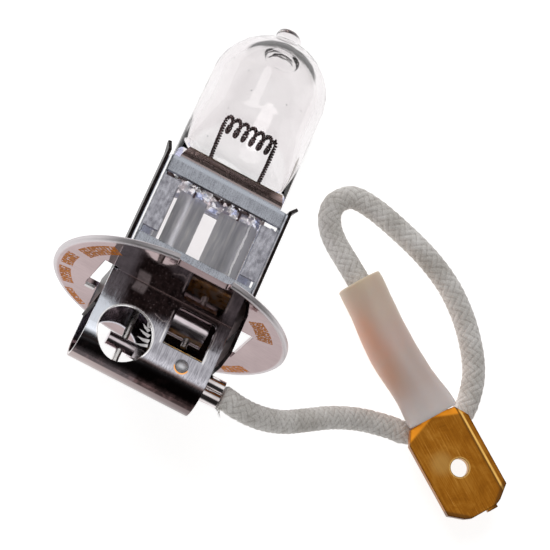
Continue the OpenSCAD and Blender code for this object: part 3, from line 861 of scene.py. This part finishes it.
def silicone_material():
    m = Mat("silicone_plain", Roughness=0.34)
    p = m.blade()
    x, y = m.xyz(p)[:2]
    wide = m.noise(p, 0.3, 3, 0.6)
    t = m.math("DIVIDE", m.add(x, m.add(13.6, wide)), 14.1)
    col = m.ramp(t, [(0.0, (0.76, 0.62, 0.47)), (0.2, (0.76, 0.61, 0.50)), (0.45, (0.76, 0.575, 0.51)),
                     (0.75, (0.72, 0.575, 0.53)), (1.0, (0.80, 0.73, 0.71))])
    warm = m.all(m.fall(y, -2.1, -0.2), m.band(x, -12.0, -3.5, 2.4))
    col = m.mix(m.mul(warm, 0.7), col, (0.82, 0.38, 0.22))
    col = m.mix(m.step(wide, 0.35, 0.7, 0.0, 0.35), col, (0.70, 0.54, 0.47))
    m.plug(m.b, "Base Color", col)
    m.b.inputs["Subsurface Weight"].default_value = 0.5
    m.b.inputs["Subsurface Radius"].default_value = (1, 0.7, 0.55)
    m.b.inputs["Subsurface Scale"].default_value = 0.001
    m.bump(m.noise(p, 1.5, 3, 0.5), 0.08, 0.08)
    return m


def brass_material():
    m = Mat("terminal_brass_plain", Metallic=1.0)
    p = m.blade()
    x, y = m.xyz(p)[:2]
    yy = m.add(y, 0.25)
    half = m.size(yy)
    clouds = m.noise(p, 0.5, 4, 0.68, 0.6)
    lines = m.noise(m.stretch(p, (0.35, 8, 8)), 1.0, 3, 0.65)
    col = m.ramp(m.blend((clouds, 0.62), (lines, 0.38)),
                 [(0.35, (0.19, 0.062, 0.005)), (0.5, (0.31, 0.112, 0.010)), (0.68, (0.50, 0.215, 0.03))])
    patch = m.step(m.far(x, yy, 4.1, -1.3), 0.4, 1.5, 0.55, 0.0)
    col = m.mix(patch, col, (0.52, 0.30, 0.085))
    col = m.mix(m.all(m.step(lines, 0.66, 0.7, 0.0, 0.25)), col, (0.80, 0.45, 0.14))
    shoulder = m.mul(m.fall(m.sub(x, m.mul(half, 0.36)), -0.15, 0.15), 0.9)
    col = m.mix(shoulder, col, (0.95, 0.34, 0.025))
    # painted shade in the groove
    col = m.mix(m.band(yy, 2.38, 2.5, 0.06), col, (0.16, 0.065, 0.012))
    col = m.mix(m.band(yy, 2.54, 2.72, 0.05), col, (0.85, 0.50, 0.13))
    # painted shade: darker towards the far end and its corners
    end = m.add(x, m.mul(half, 0.8))
    col = m.mix(m.step(end, 10.35, 10.7, 0.0, 0.75), col, (0.10, 0.04, 0.01))
    rim = m.band(m.far(x, yy, 5.2, 0.0), 0.84, 1.0, 0.04)
    col = m.mix(m.mul(rim, 0.7), col, (0.80, 0.48, 0.15))
    m.plug(m.b, "Base Color", col)
    m.plug(m.b, "Roughness", m.step(clouds, 0.3, 0.7, 0.26, 0.4))
    groove = m.mul(m.band(yy, 2.36, 2.52, 0.05), -2.0)
    m.bump(m.add(groove, m.blend((m.noise(p, 5, 3, 0.6), 0.5), (lines, 0.5))), 0.16, 0.05, m.soft_edge(0.2))
    return m


def phenolic_material():
    m = Mat("phenolic_plain", Roughness=0.35)
    p = m.bulb()
    z = m.xyz(p)[2]
    col = m.ramp(m.noise(p, 1.2, 4, 0.6), [(0.35, (0.012, 0.007, 0.005)), (0.65, (0.05, 0.022, 0.01))])
    flow = m.noise(p, 1.3, 3, 0.6)
    honey = m.ramp(flow, [(0.38, (0.14, 0.05, 0.015)), (0.48, (1.0, 0.55, 0.14)), (0.6, (1.0, 0.88, 0.68))])
    # painted light and shade: near-black below the top face for the shade inside the bracket, and a honey top
    # with cream streaks for its glints
    m.plug(m.b, "Base Color", m.mix(m.step(z, -3.42, -3.36), col, honey))
    m.bump(m.noise(p, 6, 2, 0.5), 0.1, 0.03)
    return m


bracket_mat = bracket_material()
clamp_mat = clamp_material()
strap_mat = strap_material()
sliver_mat = steel("sliver_steel_plain", (1.0, 0.98, 0.98), (0.85, 0.83, 0.83), rough=(0.4, 0.5))
sliver_mat.b.inputs["Metallic"].default_value = 0.2
rivet_mat = steel("rivet_steel_plain", (0.9, 0.9, 0.93), (0.6, 0.6, 0.63), rough=(0.4, 0.5))
rivet_mat.b.inputs["Metallic"].default_value = 0.8
foot_mat = steel("foot_steel_plain", (0.6, 0.58, 0.58), (0.3, 0.28, 0.28))
pin_mat = steel("pin_wire_plain", (0.98, 0.95, 0.93), (0.6, 0.56, 0.54), rough=(0.2, 0.35))
contact_mat = steel(
    "contact_steel_plain", (0.80, 0.73, 0.76), (0.42, 0.34, 0.36), rough=(0.14, 0.24), grain=(0.5, 6, 6)
)
ferrule_mat = steel("ferrule_steel_plain", (0.92, 0.88, 0.88), (0.5, 0.44, 0.44), rough=(0.06, 0.14))
copper_mat = steel("copper_plain", (0.85, 0.5, 0.35), (0.5, 0.25, 0.16))
foil_mat = foil_material()
tungsten_mat = steel("tungsten_plain", (0.17, 0.11, 0.11), (0.03, 0.018, 0.018), rough=(0.4, 0.55))
tungsten_mat.b.inputs["Metallic"].default_value = 0.3
flange_mat = flange_material()
quartz_mat = quartz_material()
braid_mat = braid_material()
strand_mat = strand_material()
silicone_mat = silicone_material()
brass_mat = brass_material()
phenolic_mat = phenolic_material()

WEAR = {
    bracket_mat: ["base_bracket"],
    rivet_mat: ["insulator_rivet"],
    clamp_mat: ["clamp_front", "clamp_back"],
    strap_mat: ["side_strap_left", "side_strap_right"],
    foot_mat: ["strap_foot"],
    pin_mat: ["pin_left", "pin_right"],
    contact_mat: ["ground_tab", "live_contact"],
    ferrule_mat: ["crimp_ferrule"],
    copper_mat: ["lead_conductor"],
    foil_mat: ["foil_left", "foil_right"],
    tungsten_mat: ["lead_in_left", "lead_in_right"],
    flange_mat: ["flange_disc"],
    brass_mat: ["spade_terminal"],
    phenolic_mat: ["insulator_block"],
}
for mat, names in WEAR.items():
    for name in names:
        dress(node[name], mat)
dress(glass, quartz_mat)
dress(filament, tungsten_mat)
dress(lead, braid_mat)
dress(fray, strand_mat)
dress(slivers, sliver_mat)
dress(nub, brass_mat)
dress(boot, silicone_mat)

# ---------------------------------------------------------------- table and light
TABLE_HALF = 1.2
corners = [(x * TABLE_HALF, y * TABLE_HALF, TABLE_Z) for x, y in ((-1, -1), (1, -1), (1, 1), (-1, 1))]
table = new_mesh("table", corners, [(0, 1, 2, 3)], smooth=False)
table_mat = Mat("table_white", Base_Color=(0.55, 0.55, 0.55), Roughness=0.9)
table_mat.b.inputs["Specular IOR Level"].default_value = 0.0
table_mat.b.inputs["Emission Color"].default_value = (1, 0.995, 0.99, 1)
table_mat.b.inputs["Emission Strength"].default_value = 0.84
dress(table, table_mat)

world = bpy.data.worlds.new("studio")
bpy.context.scene.world = world
world.use_nodes = True


def studio(w):
    """White behind the object, an even grey room for the light that spreads, one broad softbox overhead in a
    dim room for mirror-like metal, and a bright sheet in a dark room for what is seen through the glass."""
    t = w.node_tree
    t.nodes.clear()

    def new(kind, props=None, *inputs):
        n = t.nodes.new("ShaderNode" + kind)
        for k, v in (props or {}).items():
            setattr(n, k, v)
        for i, v in enumerate(inputs):
            if isinstance(v, bpy.types.NodeSocket):
                t.links.new(v, n.inputs[i])
            elif v is not None:
                n.inputs[i].default_value = v
        return n

    def calc(op, a, b=0.0):
        return new("Math", {"operation": op}, a, b).outputs[0]

    def fade(v, lo, hi, end):
        return new("MapRange", {"interpolation_type": "SMOOTHSTEP"}, v, lo, hi, 1.0, end).outputs[0]

    def light(colour, strength):
        return new("Background", None, colour, strength).outputs[0]

    def choose(which, a, b):
        return new("MixShader", None, which, a, b).outputs[0]

    sep = new("SeparateXYZ", None, new("TexCoord").outputs["Generated"]).outputs
    turn = calc("DIVIDE", calc("ARCTAN2", sep[2], sep[1]), math.pi)
    ramp = new("ValToRGB", None, turn)
    els = ramp.color_ramp.elements
    while len(els) < len(ROOM):
        els.new(0.5)
    for e, (deg, v) in zip(els, ROOM):
        e.position = deg / 180
        e.color = (v, v * 0.93, v * 0.92, 1) if v < 0.2 else (v, v, v, 1)
    side = fade(calc("ABSOLUTE", sep[0]), 0.62, 0.85, 0.06)
    tone = new("Mix", {"data_type": "RGBA", "blend_type": "MULTIPLY"})
    tone.inputs[0].default_value = 1
    t.links.new(ramp.outputs[0], tone.inputs[6])
    t.links.new(side, tone.inputs[7])
    white = (1, 1, 1, 1)
    path = new("LightPath").outputs
    lit = choose(path["Is Glossy Ray"], light(white, SPREAD), light(tone.outputs[2], 1.0))
    # through the glass: a bright sheet below, dark beyond its far end and overhead
    sheet = calc("MULTIPLY", fade(sep[1], 0.6, 0.7, 0.1), fade(sep[2], 0.02, 0.36, 0.02))
    through = light((1, 0.995, 1.0, 1), calc("MULTIPLY", sheet, SHEET))
    # and what lies inside the glass gets soft light
    lies_inside = calc("GREATER_THAN", path["Diffuse Depth"], 0.5)
    glass_light = choose(lies_inside, through, light(white, INSIDE))
    other = choose(path["Is Transmission Ray"], lit, glass_light)
    new("OutputWorld", None, choose(path["Is Camera Ray"], other, light(white, 1.0)))


# How bright the room is at each angle from the far horizon, over the top, to the near horizon.
ROOM = [
    (0, 0.03), (34, 0.05), (48, 0.62), (60, 0.9), (84, 1.15),
    (95, 0.4), (102, 0.03), (162, 0.02), (174, 0.35),
]
SPREAD = 0.27  # the even light on matt surfaces
SHEET = 1.08  # the white sheet under the glass, which stands for the table there
INSIDE = 0.7  # the light that the glass lets in
table.visible_transmission = False
studio(world)


def area(name, place, aim, size, power):
    """A square softbox that lights matt surfaces and isn't mirrored."""
    data = bpy.data.lights.new(name, "AREA")
    data.shape, data.size, data.energy = "SQUARE", size, power
    ob = bpy.data.objects.new(name, data)
    bpy.context.scene.collection.objects.link(ob)
    ob.location = place
    ob.rotation_mode = "QUATERNION"
    ob.rotation_quaternion = (Vector(aim) - Vector(place)).to_track_quat("-Z", "Y")
    ob.visible_glossy = False
    ob.visible_camera = False
    return ob


area("key", place=(-0.25, 0.25, 0.45), aim=(0.012, 0.005, 0), size=0.35, power=1.25)

bpy.context.scene.view_settings.view_transform = "Standard"
